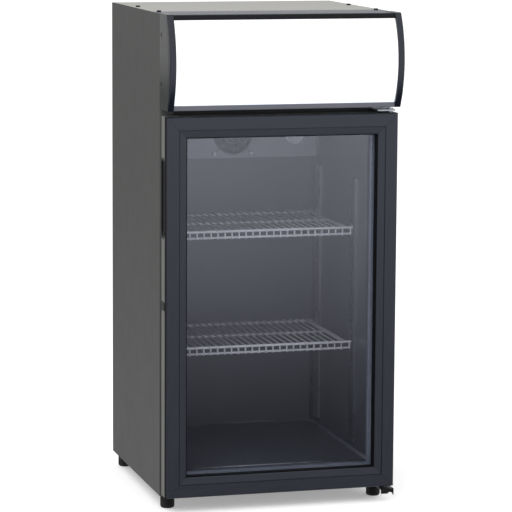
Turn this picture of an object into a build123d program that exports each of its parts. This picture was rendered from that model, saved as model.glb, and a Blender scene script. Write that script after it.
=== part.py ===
from build123d import *
import math
import os

# Glass door merchandiser: an upright display cooler with one hinged glass
# door, a light-box canopy above it and the cooling machinery behind the canopy.
#
# All shapes are drawn in casing coordinates, in millimetres: X from the middle
# to the right as seen from the front, Y backwards from the plane that the door
# seals against, and Z up from the underside of the casing. save() moves them
# so that the origin is the middle of the footprint, on the floor.

# Overall sizes
WIDTH = 430
CASING_DEPTH = 390
CASING_HEIGHT = 869
FOOT_HEIGHT = 26
CANOPY_REACH = 78
SPACER_REACH = 6
HALF_WIDTH = WIDTH / 2
ORIGIN_SHIFT_Y = (CANOPY_REACH - CASING_DEPTH - SPACER_REACH) / 2
SHEET = 1

# Cold space
LINER_HALF_WIDTH = 178
LINER_FLOOR = 46
LINER_CEILING = 667
LINER_BACK = 358
DECK_HEIGHT = 695
OPENING_FLANGE = 190

# Door
DOOR_HALF_WIDTH = 214
DOOR_BOTTOM = 4.5
DOOR_TOP = 690
DOOR_FRONT = -48
PROFILE_BACK = -34
CARRIER_BACK = -10
GASKET_BACK = -0.3
FRAME_BAND = 37
GLASS_EDGE = 30
GLASS_FRONT = -29
GLASS_THICKNESS = 4
GLASS_BACK = -13
SPACER_LEFT = 5
SPACER_RIGHT = 7.5
SPACER_FOOT = 5
SPACER_HEAD = 4
HINGE_X = 205
HINGE_Y = -28
PIN_RADIUS = 4
RUNNING_GAP = 0.05

# Handle side of the door
GRIP_CENTRE_Z = 544.5
GRIP_LENGTH = 139
LOCK_Z = 351.5
LOCK_Y = -20
LOCK_SLOT_LOW = -19
LOCK_SLOT_HIGH = 5
MITRE_GAP = 0.15

# Canopy
CANOPY_BOTTOM = 701.5
CANOPY_TOP = 869
DIFFUSER_BOTTOM = 710.5
DIFFUSER_TOP = 860
CAP_WIDTH = 12
CAP_INNER = HALF_WIDTH - CAP_WIDTH - 0.2

# Shelves and their strips
STRIP_FRONT = 80
STRIP_REAR = 302
STRIP_WIDTH = 26
STRIP_DEPTH = 4
STRIP_BOTTOM = 62
STRIP_TOP = 557
SLOT_PITCH = 12.6
FIRST_SLOT = 72.9
SLOT_COUNT = 38
SLOT_OFFSET = 17
CLIP_DROP = 4.5
SHELF_LEVELS = [FIRST_SLOT + SLOT_PITCH * step + CLIP_DROP for step in (31, 14)]
SHELF_FRONT = 82
SHELF_BACK = 330
SIDE_RAIL_X = 160
WIRE_PITCH = 13.2
WIRE_COUNT = 24

# Fans and thermostat
FAN_X = -8
FAN_Z = 624
FAN_SIZE = 80
FAN_HOLE_OFFSET = 35.75
COVER_FRONT = 270
COVER_BOTTOM = 580
COVER_HALF_WIDTH = 165
KNOB_X = 112
KNOB_Z = 623
CONDENSER_FAN_X = -100
CONDENSER_FAN_Z = 772

# Feet
FOOT_X = 196
FOOT_FRONT_Y = 18
FOOT_REAR_Y = 365
FOOT_RADIUS = 13
STUD_RADIUS = 4

# Canopy arcs as (Y, Z) points, and its screws
OUTER_ARC = [(-54, CANOPY_TOP + 1), (-CANOPY_REACH, 786), (-57, CANOPY_BOTTOM)]
SEAM_ARC = [(-44, CANOPY_TOP + 1), (-63.5, 790), (-50.7, CANOPY_BOTTOM)]
DIFFUSER_ARC = [(-52.5, DIFFUSER_TOP), (-75.5, 786), (-55, DIFFUSER_BOTTOM)]
CANOPY_SCREW_Y = -12.5
CANOPY_SCREW_Z = (746, 833)

# Lid: screws and the row of vents
TOP_SCREW_X = 203
TOP_SCREW_Y = (56, 222)
VENT_COUNT = 24
VENT_PITCH = 11.2
VENT_Y = 72
COVER_REAR_Y = 62

# Back panel: louvres, mains inlet with its rocker switch, and drain
LOUVRE_ROWS = 9
INLET_X = 165
INLET_Z = 735
ROCKER_X = INLET_X + 13
ROCKER_Y = 385
DRAIN_X = 150
DRAIN_Z = 590

# Machinery: pipe holes in the deck as (X, Y), and the compressor
SUCTION_HOLE = (140, 335)
LIQUID_HOLE = (30, 330)
COMPRESSOR_X = 118
COMPRESSOR_Y = 272
COMPRESSOR_BOTTOM = DECK_HEIGHT + 16
COMPRESSOR_TOP = 828

# Hinge brackets and their screws as (X, Z)
TOP_BRACKET_Z = 693
HINGE_SCREWS_TOP = [(184, 711), (203, 711)]
HINGE_SCREWS_BOTTOM = [(184, 41), (208, 41)]

os.makedirs("parts", exist_ok=True)


def block(x0, x1, y0, y1, z0, z1):
    """A box between two opposite corners."""
    centre = Pos((x0 + x1) / 2, (y0 + y1) / 2, (z0 + z1) / 2)
    return centre * Box(x1 - x0, y1 - y0, z1 - z0)


def rod_x(radius, x0, x1, y, z):
    """A round bar along X."""
    return Pos((x0 + x1) / 2, y, z) * Rot(0, 90, 0) * Cylinder(radius, x1 - x0)


def rod_y(radius, y0, y1, x, z):
    """A round bar along Y."""
    return Pos(x, (y0 + y1) / 2, z) * Rot(90, 0, 0) * Cylinder(radius, y1 - y0)


def rod_z(radius, z0, z1, x, y):
    """A round bar along Z."""
    return Pos(x, y, (z0 + z1) / 2) * Cylinder(radius, z1 - z0)


def mirrored(shape):
    """The same shape on the other side of the middle plane."""
    return mirror(shape, about=Plane.YZ)


def both_sides(shape):
    """A left and a right copy as a list."""
    return [shape, mirrored(shape)]


def pipe(points, radius, bend):
    """A round tube's outer shape along straight runs joined by arcs."""
    path = FilletPolyline(*points, radius=bend)
    section = Plane(origin=path @ 0, z_dir=path % 0) * Circle(radius)
    return sweep(section, path=path)


def save(name, shape):
    """Write one sub-part, moved to the object's own frame."""
    if isinstance(shape, (list, ShapeList)):
        shape = Compound(children=[solid for item in shape for solid in item.solids()])
    placed = Pos(0, ORIGIN_SHIFT_Y, FOOT_HEIGHT) * shape
    export_step(placed, f"parts/{name}.step")


# ---------------------------------------------------------------- casing


def side_panel():
    """Left side: one folded sheet with front, rear and top returns."""
    outer = block(-HALF_WIDTH, -HALF_WIDTH + 12, 0, CASING_DEPTH, 0, CASING_HEIGHT)
    outer = fillet(outer.edges().filter_by(Axis.Z).group_by(Axis.X)[0], 2)
    inner_x = -HALF_WIDTH + SHEET
    hollow = block(inner_x, -HALF_WIDTH + 13, SHEET, CASING_DEPTH - SHEET, -1, CASING_HEIGHT + 1)
    hollow += block(inner_x, -HALF_WIDTH + 13, -1, CASING_DEPTH + 1, 867, CASING_HEIGHT + 1)
    front_return = block(-HALF_WIDTH + 11, -OPENING_FLANGE, 0, SHEET, 0, 867)
    top_return = block(inner_x, -OPENING_FLANGE, 3, CASING_DEPTH - 3, 867, 868)
    panel = outer - hollow + front_return + top_return
    for y in TOP_SCREW_Y:
        panel -= rod_z(2, 860, 880, -TOP_SCREW_X, y)
    lock_slot = block(-212.5, -207, -1, 2, LOCK_Z + LOCK_SLOT_LOW, LOCK_Z + LOCK_SLOT_HIGH)
    return panel - lock_slot


def top_panel():
    """Flat lid of the machine compartment with a row of vent slots."""
    panel = block(-213, 213, COVER_REAR_Y, CASING_DEPTH - 2, 868, CASING_HEIGHT)
    slot = extrude(SlotOverall(8, 3.6, rotation=90), 10)
    first = -VENT_PITCH * (VENT_COUNT - 1) / 2
    for number in range(VENT_COUNT):
        panel -= Pos(first + number * VENT_PITCH, VENT_Y + 2, 862) * slot
    for side in (-1, 1):
        panel -= rod_z(2, 860, 880, side * TOP_SCREW_X, TOP_SCREW_Y[1])
    return panel


def back_panel():
    """Rear sheet with louvre slots over the machine compartment."""
    panel = block(-213.8, 213.8, CASING_DEPTH - 2, CASING_DEPTH - 1, 1.2, 866.8)
    slot = Rot(90, 0, 0) * extrude(SlotOverall(110, 5), 10)
    for column_x in (-130, 0):
        for row in range(LOUVRE_ROWS):
            panel -= Pos(column_x, CASING_DEPTH + 3, 724 + 14 * row) * slot
    panel -= block(INLET_X - 24.3, INLET_X + 24.3, 380, 395, INLET_Z - 11.3, INLET_Z + 11.3)
    panel -= rod_y(6.3, 380, 395, DRAIN_X, DRAIN_Z)
    return panel


def base_panel():
    """Bottom sheet with a front fold below the opening and stud holes."""
    panel = block(-214, 214, SHEET, CASING_DEPTH - 2, 0, 1.2)
    panel += block(-OPENING_FLANGE, OPENING_FLANGE, 0, SHEET, 0, 34)
    for x, y in foot_places():
        panel -= rod_z(STUD_RADIUS + 0.3, -5, 5, x, y)
    return panel


def foot_places():
    """Centres of the four feet."""
    return [(side * FOOT_X, y) for y in (FOOT_FRONT_Y, FOOT_REAR_Y) for side in (-1, 1)]


def machine_deck():
    """Folded sheet: floor and front wall of the machine compartment."""
    deck = block(-214, 214, SHEET, CASING_DEPTH - 2, DECK_HEIGHT, DECK_HEIGHT + 1)
    deck += block(-OPENING_FLANGE, OPENING_FLANGE, 0, SHEET, 680, 866)
    deck -= rod_z(6, 690, 700, *SUCTION_HOLE)
    deck -= rod_z(4, 690, 700, *LIQUID_HOLE)
    for column_x in (-150, -100, -50, 0, 50, 100, 150):
        for row in range(6):
            z = 730 + 20 * row
            deck -= block(column_x - 18, column_x + 18, -1, 2, z, z + 6)
    return deck


def foam_insulation():
    """Foam between liner and casing, as five slabs."""
    outer = HALF_WIDTH - SHEET
    inner = LINER_HALF_WIDTH + 1
    back = LINER_BACK + 1
    left = block(-outer, -inner, SHEET, CASING_DEPTH - 2, 1.2, DECK_HEIGHT)
    for y in (FOOT_FRONT_Y, FOOT_REAR_Y):
        left -= rod_z(STUD_RADIUS + 1, 0, 22, -FOOT_X, y)
    right = mirrored(left)
    left -= block(-213, -206.5, 0, 9, LOCK_Z + LOCK_SLOT_LOW - 1, LOCK_Z + LOCK_SLOT_HIGH + 2)
    rear = block(-inner, inner, back, CASING_DEPTH - 2, 1.2, DECK_HEIGHT)
    rear -= rod_y(6.3, 350, 395, DRAIN_X, DRAIN_Z)
    floor = block(-inner, inner, SHEET, back, 1.2, LINER_FLOOR - 1)
    ceiling = block(-inner, inner, SHEET, back, LINER_CEILING + 1, DECK_HEIGHT)
    ceiling -= rod_z(6, 660, 700, *SUCTION_HOLE)
    ceiling -= rod_z(4, 660, 700, *LIQUID_HOLE)
    return [left, right, rear, floor, ceiling]


def inner_liner():
    """Moulded inner tub with a flange round its mouth."""
    half = LINER_HALF_WIDTH
    tub = block(-half - 1, half + 1, 0, LINER_BACK + 1, LINER_FLOOR - 1, LINER_CEILING + 1)
    tub += block(-OPENING_FLANGE, OPENING_FLANGE, 0, SHEET, 34, 680)
    cavity = block(-half, half, -10, LINER_BACK, LINER_FLOOR, LINER_CEILING)
    inside_corners = cavity.edges().filter_by(Axis.Y) + cavity.edges().group_by(Axis.Y)[-1]
    cavity = fillet(inside_corners, 0.9)
    tub -= cavity
    tub -= rod_y(6.3, 350, 395, DRAIN_X, DRAIN_Z)
    tub -= rod_z(6, 660, 700, *SUCTION_HOLE)
    tub -= rod_z(4, 660, 700, *LIQUID_HOLE)
    return tub


def rubber_buffers():
    """Four wall spacers on the back and four mounts under the compressor."""
    buffers = []
    for x in (-160, 160):
        for z in (100, 550):
            buffers.append(rod_y(14, CASING_DEPTH - 1, CASING_DEPTH + SPACER_REACH, x, z))
    for x in (COMPRESSOR_X - 62, COMPRESSOR_X + 62):
        for y in (COMPRESSOR_Y - 42, COMPRESSOR_Y + 42):
            buffers.append(rod_z(8, DECK_HEIGHT + 1, DECK_HEIGHT + 13, x, y))
    return buffers


# ---------------------------------------------------------------- cold space


def fan_cover():
    """Pan under the ceiling that hides the evaporator and carries the fan."""
    half = COVER_HALF_WIDTH
    outer = block(-half, half, COVER_FRONT, LINER_BACK - 1, COVER_BOTTOM, LINER_CEILING - 1)
    outer = chamfer(outer.edges().filter_by(Axis.Z).group_by(Axis.Y)[0], 8)
    wall = 1.5
    hollow = block(-half + wall, half - wall, COVER_FRONT + wall, 380, COVER_BOTTOM + wall, 700)
    hollow = chamfer(hollow.edges().filter_by(Axis.Z).group_by(Axis.Y)[0], 7.4)
    cover = outer - hollow
    cover -= rod_y(FAN_SIZE / 2 - 2, 260, 280, FAN_X, FAN_Z)
    for x, z in fan_holes():
        cover -= rod_y(2.2, 260, 280, x, z)
    cover -= rod_y(4.5, 260, 280, KNOB_X, KNOB_Z)
    for x in range(-130, 131, 20):
        for y in (285, 315):
            cover -= block(x - 3, x + 3, y, y + 22, COVER_BOTTOM - 1, COVER_BOTTOM + 3)
    return cover


def fan_holes():
    """Centres of the fan's four fixing holes."""
    step = FAN_HOLE_OFFSET
    return [(FAN_X + a * step, FAN_Z + b * step) for a in (-1, 1) for b in (-1, 1)]


def finned_coil(x0, x1, y0, y1, z0, z1, pitch, tube_radius, levels, rows):
    """A block of upright fins threaded on rows of level tubes."""
    coil = block(x0, x0 + 1.5, y0, y1, z0, z1) + block(x1 - 1.5, x1, y0, y1, z0, z1)
    fins = []
    fin_x = x0 + pitch
    while fin_x < x1 - pitch / 2:
        fins.append(block(fin_x, fin_x + 0.8, y0 + 1, y1 - 1, z0 + 1, z1 - 1))
        fin_x += pitch
    tubes = []
    for level in range(levels):
        tube_z = z0 + (level + 0.5) * (z1 - z0) / levels
        for row in range(rows):
            tube_y = y0 + (row + 0.5) * (y1 - y0) / rows
            tubes.append(rod_x(tube_radius, x0 - 5, x1 + 5, tube_y, tube_z))
    return coil + fins + tubes


def evaporator_coil():
    """Cooling coil above the cover."""
    return finned_coil(-140, 124, 302, 344, 588, 656, 8, 4, 3, 2)


def evaporator_fan_frame():
    """Square fan housing with its motor hub on four struts."""
    rear = COVER_FRONT + 1.5
    half = FAN_SIZE / 2
    frame = block(FAN_X - half, FAN_X + half, rear, rear + 25, FAN_Z - half, FAN_Z + half)
    frame = fillet(frame.edges().filter_by(Axis.Y), 5)
    frame -= rod_y(half - 2.5, rear - 1, rear + 30, FAN_X, FAN_Z)
    frame += rod_y(17, rear + 19, rear + 25, FAN_X, FAN_Z)
    for angle in (45, 135):
        strut = Box(half * 2 - 2, 5, 3.2)
        frame += Pos(FAN_X, rear + 22.2, FAN_Z) * Rot(0, angle, 0) * strut
    frame -= rod_y(1.5 + RUNNING_GAP, rear, rear + 30, FAN_X, FAN_Z)
    for x, z in fan_holes():
        frame -= rod_y(2.2, rear - 1, rear + 30, x, z)
    return frame


def fan_blades(x, y0, z, hub_radius, tip_radius, depth, count, shaft_radius, shaft_end):
    """Hub with pitched blades on a shaft that points backwards."""
    middle = y0 + depth / 2
    blades = rod_y(hub_radius, y0, y0 + depth, x, z)
    reach = tip_radius - hub_radius
    for number in range(count):
        blade = Pos(hub_radius + reach / 2 - 1, 0, 0) * Rot(38, 0, 0)
        blade = blade * Box(reach + 6, 1.6, depth * 1.35)
        blades += Pos(x, middle, z) * Rot(0, 360 / count * number, 0) * blade
    envelope = rod_y(tip_radius, y0, y0 + depth, x, z)
    return (blades & envelope) + rod_y(shaft_radius, y0, shaft_end, x, z)


def evaporator_fan_blades():
    """Seven-bladed rotor of the evaporator fan."""
    y0 = COVER_FRONT + 3
    return fan_blades(FAN_X, y0, FAN_Z, 16, 36, 15, 7, 1.5, y0 + 22)


def fan_guard():
    """Ring guard of bent wire in front of the fan."""
    plane_y = COVER_FRONT - 2
    guard = []
    for ring_radius in (37, 27, 17):
        guard.append(Pos(FAN_X, plane_y, FAN_Z) * Rot(90, 0, 0) * Torus(ring_radius, 0.9))
    reach = math.hypot(FAN_HOLE_OFFSET, FAN_HOLE_OFFSET) - 4.6
    for angle in (45, 135, 225, 315):
        leg = Pos((16.6 + reach) / 2, 1, 0) * Rot(0, 90, 0) * Cylinder(0.9, reach - 16.6)
        guard.append(Pos(FAN_X, plane_y, FAN_Z) * Rot(0, angle, 0) * leg)
    for x, z in fan_holes():
        eye = rod_y(5, plane_y + 0.3, COVER_FRONT, x, z) - rod_y(2.4, 260, 280, x, z)
        guard.append(eye)
    return guard[0] + guard[1:]


def thermostat():
    """Thermostat body behind the cover, with a bore for the knob's shaft."""
    body = block(KNOB_X - 17, KNOB_X + 12, COVER_FRONT + 1.6, COVER_FRONT + 28, 608, 640)
    return body - rod_y(3 + RUNNING_GAP, 260, 285, KNOB_X, KNOB_Z)


def thermostat_knob():
    """Round knob with a grip bar, on its shaft."""
    knob = rod_y(19, COVER_FRONT - 7, COVER_FRONT - 1, KNOB_X, KNOB_Z)
    knob = fillet(knob.edges().filter_by(GeomType.CIRCLE).group_by(Axis.Y)[0], 1.5)
    grip = rod_y(13, COVER_FRONT - 18, COVER_FRONT - 6, KNOB_X, KNOB_Z)
    grip &= block(KNOB_X - 5, KNOB_X + 5, 240, 270, KNOB_Z - 20, KNOB_Z + 20)
    shaft = rod_y(3, COVER_FRONT - 2, COVER_FRONT + 12, KNOB_X, KNOB_Z)
    return knob + grip + shaft


def shelf_strips():
    """Four upright slotted channels on the side walls."""
    strips = []
    face = LINER_HALF_WIDTH - STRIP_DEPTH
    for y in (STRIP_FRONT, STRIP_REAR):
        strip = block(-LINER_HALF_WIDTH, -face, y, y + STRIP_WIDTH, STRIP_BOTTOM, STRIP_TOP)
        strip -= block(-200, -face - 1, y + 1, y + STRIP_WIDTH - 1, 0, 700)
        middle = y + SLOT_OFFSET
        for number in range(SLOT_COUNT):
            z = FIRST_SLOT + number * SLOT_PITCH
            strip -= block(-180, -170, middle - 2.8, middle + 2.8, z - 3.5, z + 3.5)
        strips += both_sides(strip)
    return strips


def shelf_clips():
    """Hooked clips that sit in the strips and carry the shelves' side rails."""
    clips = []
    face = LINER_HALF_WIDTH - STRIP_DEPTH
    for level in SHELF_LEVELS:
        for strip_y in (STRIP_FRONT, STRIP_REAR):
            y = strip_y + SLOT_OFFSET
            clip = block(-face, -face + 1.7, y - 5, y + 5, level - 9, level + 3)
            clip += block(-face, -SIDE_RAIL_X + 3, y - 5, y + 5, level - 5.2, level - 3.6)
            clip += block(-SIDE_RAIL_X + 3, -SIDE_RAIL_X + 4.5, y - 5, y + 5, level - 5.2, level - 2)
            clip += block(-face - 3, -face, y - 2.3, y + 2.3, level - 7, level - 2.2)
            clips += both_sides(clip)
    return clips


def shelf(level):
    """Wire shelf: long wires bent down at the front, on rails all round."""
    back = (0, SHELF_BACK + 2, level)
    bend = (0, SHELF_FRONT, level)
    tip = (0, SHELF_FRONT, level - 15.5)
    wire = pipe([back, bend, tip], 1.5, 5)
    first = -WIRE_PITCH * (WIRE_COUNT - 1) / 2
    wires = [Pos(first + number * WIRE_PITCH, 0, 0) * wire for number in range(WIRE_COUNT)]
    front_y = SHELF_FRONT - 2.3
    rails = [
        rod_x(2.5, -170, 170, front_y, level - 0.8),
        rod_x(2, -170, 170, SHELF_FRONT + 2.8, level - 13),
        rod_x(2, -SIDE_RAIL_X, SIDE_RAIL_X, (SHELF_FRONT + SHELF_BACK) / 2, level - 3),
        rod_x(2.5, -170, 170, SHELF_BACK, level - 3.4),
    ]
    for side in (-1, 1):
        rails.append(rod_y(2.2, front_y, SHELF_BACK - 0.5, side * SIDE_RAIL_X, level - 1.3))
        rails.append(rod_z(1.8, level - 13.5, level - 1.5, side * 167.5, SHELF_FRONT - 0.2))
    return wires[0] + wires[1:] + rails


def drain_tube():
    """Short tube that leads melt water out through the back."""
    tube = rod_y(6, 352, CASING_DEPTH + 3, DRAIN_X, DRAIN_Z)
    return tube - rod_y(4.5, 350, 400, DRAIN_X, DRAIN_Z)


# ---------------------------------------------------------------- machinery


def compressor():
    """Welded compressor shell on its foot plate, with a terminal box."""
    shell = rod_z(55, COMPRESSOR_BOTTOM, COMPRESSOR_TOP, COMPRESSOR_X, COMPRESSOR_Y)
    shell = fillet(shell.edges().filter_by(GeomType.CIRCLE), 24)
    plate_z = DECK_HEIGHT + 13
    plate = block(
        COMPRESSOR_X - 72, COMPRESSOR_X + 72, COMPRESSOR_Y - 52, COMPRESSOR_Y + 52, plate_z, plate_z + 4
    )
    box_x = COMPRESSOR_X + 50
    terminal = block(box_x, box_x + 24, COMPRESSOR_Y - 22, COMPRESSOR_Y + 22, 745, 800)
    return shell + plate + terminal


def condenser_coil():
    """Warm coil in front of its fan."""
    return finned_coil(-190, -12, 108, 146, 698, 848, 7, 4, 5, 2)


def condenser_fan_motor():
    """Fan motor on a bracket that stands on the deck."""
    motor = rod_y(28, 192, 240, CONDENSER_FAN_X, CONDENSER_FAN_Z)
    bracket = block(-128, -72, 226, 232, DECK_HEIGHT + 1, CONDENSER_FAN_Z)
    foot = block(-128, -72, 226, 262, DECK_HEIGHT + 1, DECK_HEIGHT + 4)
    body = motor + bracket + foot
    return body - rod_y(3 + RUNNING_GAP, 180, 225, CONDENSER_FAN_X, CONDENSER_FAN_Z)


def condenser_fan_blades():
    """Five-bladed rotor of the condenser fan."""
    return fan_blades(CONDENSER_FAN_X, 160, CONDENSER_FAN_Z, 18, 66, 22, 5, 3, 220)


def refrigerant_pipes():
    """Copper pipes between compressor, coils and the filter drier."""
    top = COMPRESSOR_TOP
    header_x = -6.2
    discharge = pipe(
        [(105, 272, top), (105, 272, 852), (10, 272, 852), (10, 118, 852), (10, 118, 833), (header_x, 118, 833)],
        3,
        7,
    )
    suction = pipe(
        [(132, 272, top), (132, 272, 848), (132, 335, 848), (140, 335, 810), (140, 335, 644.7), (129.8, 335, 644.7)],
        4,
        4.5,
    )
    drier = rod_z(9, 712, 790, *LIQUID_HOLE)
    drier = fillet(drier.edges().filter_by(GeomType.CIRCLE), 6)
    drier += rod_z(2, 656.2, 714, *LIQUID_HOLE)
    condensate = pipe([(30, 330, 790), (30, 330, 812), (30, 137, 812), (header_x, 137, 803)], 2, 8)
    return [discharge, suction, drier, condensate]


def control_box():
    """Closed box with the lamp driver and terminals."""
    box = block(130, 206, 20, 110, DECK_HEIGHT + 1, 752)
    return fillet(box.edges().filter_by(Axis.Z), 4)


def inlet_module():
    """Mains inlet and switch housing in one frame on the back."""
    face_y = CASING_DEPTH - 1
    module = block(INLET_X - 24, INLET_X + 24, 352, face_y, INLET_Z - 11, INLET_Z + 11)
    flange = block(INLET_X - 30, INLET_X + 30, face_y, face_y + 2.5, INLET_Z - 17, INLET_Z + 17)
    flange = fillet(flange.edges().filter_by(Axis.Y), 4)
    module += flange
    socket = block(INLET_X - 22, INLET_X + 2, 372, 400, INLET_Z - 8.5, INLET_Z + 8.5)
    module -= fillet(socket.edges().filter_by(Axis.Y).group_by(Axis.Z)[-1], 4)
    for pin_x in (INLET_X - 17, INLET_X - 10, INLET_X - 3):
        module += block(pin_x - 1, pin_x + 1, 371, 386, INLET_Z - 3, INLET_Z + 2)
    module -= block(ROCKER_X - 7.3, ROCKER_X + 7.3, 377.5, 400, INLET_Z - 10.4, INLET_Z + 10.4)
    pivot_radius = 1.5 + RUNNING_GAP
    return module - rod_x(pivot_radius, ROCKER_X - 9, ROCKER_X + 9, ROCKER_Y, INLET_Z)


def light_switch_rocker():
    """Rocker of the lamp switch on its cross pin."""
    rocker = block(ROCKER_X - 6.9, ROCKER_X + 6.9, 382, 394, INLET_Z - 8.5, INLET_Z + 8.5)
    hollow = rod_x(24, ROCKER_X - 8, ROCKER_X + 8, 415, INLET_Z)
    rocker -= hollow
    return rocker + rod_x(1.5, ROCKER_X - 8.7, ROCKER_X + 8.7, ROCKER_Y, INLET_Z)


# ---------------------------------------------------------------- canopy

# Points of the canopy's side outline, from top to bottom, as (Y, Z)


def arc_band(front, rear):
    """Side outline between a front arc and a rear arc, as a face to extrude along X."""
    front_points = [(0, y, z) for y, z in front]
    rear_points = [(0, y, z) for y, z in rear]
    edges = [
        ThreePointArc(*front_points),
        Line(front_points[-1], rear_points[-1]),
        ThreePointArc(*rear_points[::-1]),
        Line(rear_points[0], front_points[0]),
    ]
    return make_face(edges)


def shifted(points, step):
    """The same outline points moved along Y."""
    return [(y + step, z) for y, z in points]


def band_between(front, rear, x0, x1):
    """A solid of one side outline between two X planes."""
    return Pos(x0, 0, 0) * extrude(arc_band(front, rear), amount=x1 - x0, dir=(1, 0, 0))


def canopy_end():
    """Left end plate of the canopy with two screw bosses."""
    top = CANOPY_TOP + 1
    front_points = [(0, y, z) for y, z in shifted(SEAM_ARC, 0.3)]
    edges = [
        ThreePointArc(*front_points),
        Line(front_points[-1], (0, 0, CANOPY_BOTTOM)),
        Line((0, 0, CANOPY_BOTTOM), (0, 0, top)),
        Line((0, 0, top), front_points[0]),
    ]
    face = make_face(edges)
    plate = Pos(-HALF_WIDTH, 0, 0) * extrude(face, amount=2.5, dir=(1, 0, 0))
    plate += block(-HALF_WIDTH + 2.4, -CAP_INNER, -2.2, -0.2, 726, top)
    plate += block(-HALF_WIDTH, -CAP_INNER, -43.7, 0, top - 1.5, top)
    plate += block(-HALF_WIDTH, -CAP_INNER, -50.4, -3, CANOPY_BOTTOM, CANOPY_BOTTOM + 1.5)
    for z in CANOPY_SCREW_Z:
        plate += rod_x(4.5, -HALF_WIDTH + 2, -204, CANOPY_SCREW_Y, z)
        plate -= rod_x(4, -HALF_WIDTH - 1, -HALF_WIDTH + 1.4, CANOPY_SCREW_Y, z)
        plate -= rod_x(2, -HALF_WIDTH - 1, -200, CANOPY_SCREW_Y, z)
    return plate


def canopy_trim():
    """Left front bezel of the canopy, bowed like the lamp panel."""
    trim = band_between(OUTER_ARC, SEAM_ARC, -HALF_WIDTH, -HALF_WIDTH + CAP_WIDTH)
    front_edges = trim.edges().filter_by(GeomType.CIRCLE).group_by(Axis.Y)[0]
    return fillet(front_edges, 2.5)


def canopy_diffuser():
    """Bowed opal sheet of the light box."""
    return band_between(DIFFUSER_ARC, shifted(DIFFUSER_ARC, 2), -CAP_INNER, CAP_INNER)


def canopy_top_rail():
    """Upper rail that holds the lamp panel."""
    rail = block(-CAP_INNER, CAP_INNER, -54, -40, DIFFUSER_TOP, CANOPY_TOP)
    upper = rail.edges().filter_by(Axis.X).group_by(Axis.Z)[-1]
    return fillet(upper.sort_by(Axis.Y)[0], 3)


def canopy_bottom_rail():
    """Lower rail that holds the lamp panel."""
    rail = block(-CAP_INNER, CAP_INNER, -57, -44, CANOPY_BOTTOM, DIFFUSER_BOTTOM)
    return fillet(rail.edges().filter_by(Axis.X).group_by(Axis.Y)[0], 2)


def canopy_top_cover():
    """Sheet over the light box that runs back over the front of the casing."""
    cover = block(-CAP_INNER, CAP_INNER, -40, 0, 868, CANOPY_TOP)
    cover += block(-213, 213, 0, COVER_REAR_Y, 868, CANOPY_TOP)
    for side in (-1, 1):
        cover -= rod_z(2, 860, 880, side * TOP_SCREW_X, TOP_SCREW_Y[0])
    return cover


def canopy_back_plate():
    """White reflector behind the lamps, with the floor of the light box."""
    plate = block(-CAP_INNER, CAP_INNER, -7, -6, 702, 866)
    return plate + block(-CAP_INNER, CAP_INNER, -44, -7, 702, 703)


def led_strips():
    """Two strips of lamps on the reflector."""
    strips = []
    for z in (748, 824):
        strip = block(-190, 190, -8, -7, z - 6, z + 6)
        chips = [block(x - 2.5, x + 2.5, -9, -8, z - 2.5, z + 2.5) for x in range(-175, 176, 25)]
        strips.append(strip + chips)
    return strips


# ---------------------------------------------------------------- door


def profile_section():
    """Hollow front profile: u inwards from the door's edge along X, and depth along Y."""
    front = DOOR_FRONT
    back = PROFILE_BACK
    band = FRAME_BAND
    edges = [
        Line((0, back), (0, front + 4)),
        ThreePointArc((0, front + 4), (4 - 4 * math.sqrt(0.5), front + 4 - 4 * math.sqrt(0.5)), (4, front)),
        Line((4, front), (23, front)),
        Line((23, front), (23, front + 1.6)),
        Line((23, front + 1.6), (24.6, front + 1.6)),
        Line((24.6, front + 1.6), (24.6, front + 0.5)),
        Line((24.6, front + 0.5), (band - 1, front + 2.6)),
        Line((band - 1, front + 2.6), (band, front + 3.6)),
        Line((band, front + 3.6), (band, back)),
        Line((band, back), (band - 1.6, back)),
        Line((band - 1.6, back), (band - 1.6, front + 5)),
        Line((band - 1.6, front + 5), (22, front + 3.2)),
        Line((22, front + 3.2), (4, front + 2)),
        ThreePointArc((4, front + 2), (4 - 2 * math.sqrt(0.5), front + 4 - 2 * math.sqrt(0.5)), (2, front + 4)),
        Line((2, front + 4), (2, back)),
        Line((2, back), (0, back)),
    ]
    return make_face(edges)


def carrier_section():
    """Plastic carrier behind the profile, with the step that the glass sits in."""
    points = [
        (0, PROFILE_BACK),
        (0, CARRIER_BACK),
        (FRAME_BAND, CARRIER_BACK),
        (FRAME_BAND, GLASS_BACK),
        (GLASS_EDGE, GLASS_BACK),
        (GLASS_EDGE, PROFILE_BACK),
    ]
    return make_face(Polyline(*points, close=True))


def mitred_frame(section, band, gap):
    """Left, right, top and bottom members of the door frame, mitred with a fine gap at the corners."""
    height = DOOR_TOP - DOOR_BOTTOM
    width = 2 * DOOR_HALF_WIDTH
    middle_z = (DOOR_TOP + DOOR_BOTTOM) / 2
    members = []
    for length in (height, width):
        bar = extrude(section, amount=length / 2, both=True)
        half = length / 2 - gap
        outline = Polyline((0, -half), (band, band - half), (band, half - band), (0, half), close=True)
        wedge = Rot(90, 0, 0) * extrude(make_face(outline), amount=60, both=True)
        members.append(bar & wedge)
    left = Pos(-DOOR_HALF_WIDTH, 0, middle_z) * members[0]
    bottom = Pos(0, 0, DOOR_BOTTOM) * Rot(0, -90, 0) * members[1]
    top = Pos(0, 0, DOOR_TOP) * Rot(0, 90, 0) * members[1]
    return left, mirrored(left), top, bottom


def ring(inset, width, y0, y1, radius=0):
    """A flat rectangular ring, inset from the door's outer edge."""
    outer = door_inset_block(inset, y0, y1)
    inner = door_inset_block(inset + width, y0 - 1, y1 + 1)
    if radius:
        outer = fillet(outer.edges().filter_by(Axis.Y), radius + width)
        inner = fillet(inner.edges().filter_by(Axis.Y), radius)
    return outer - inner


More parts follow.
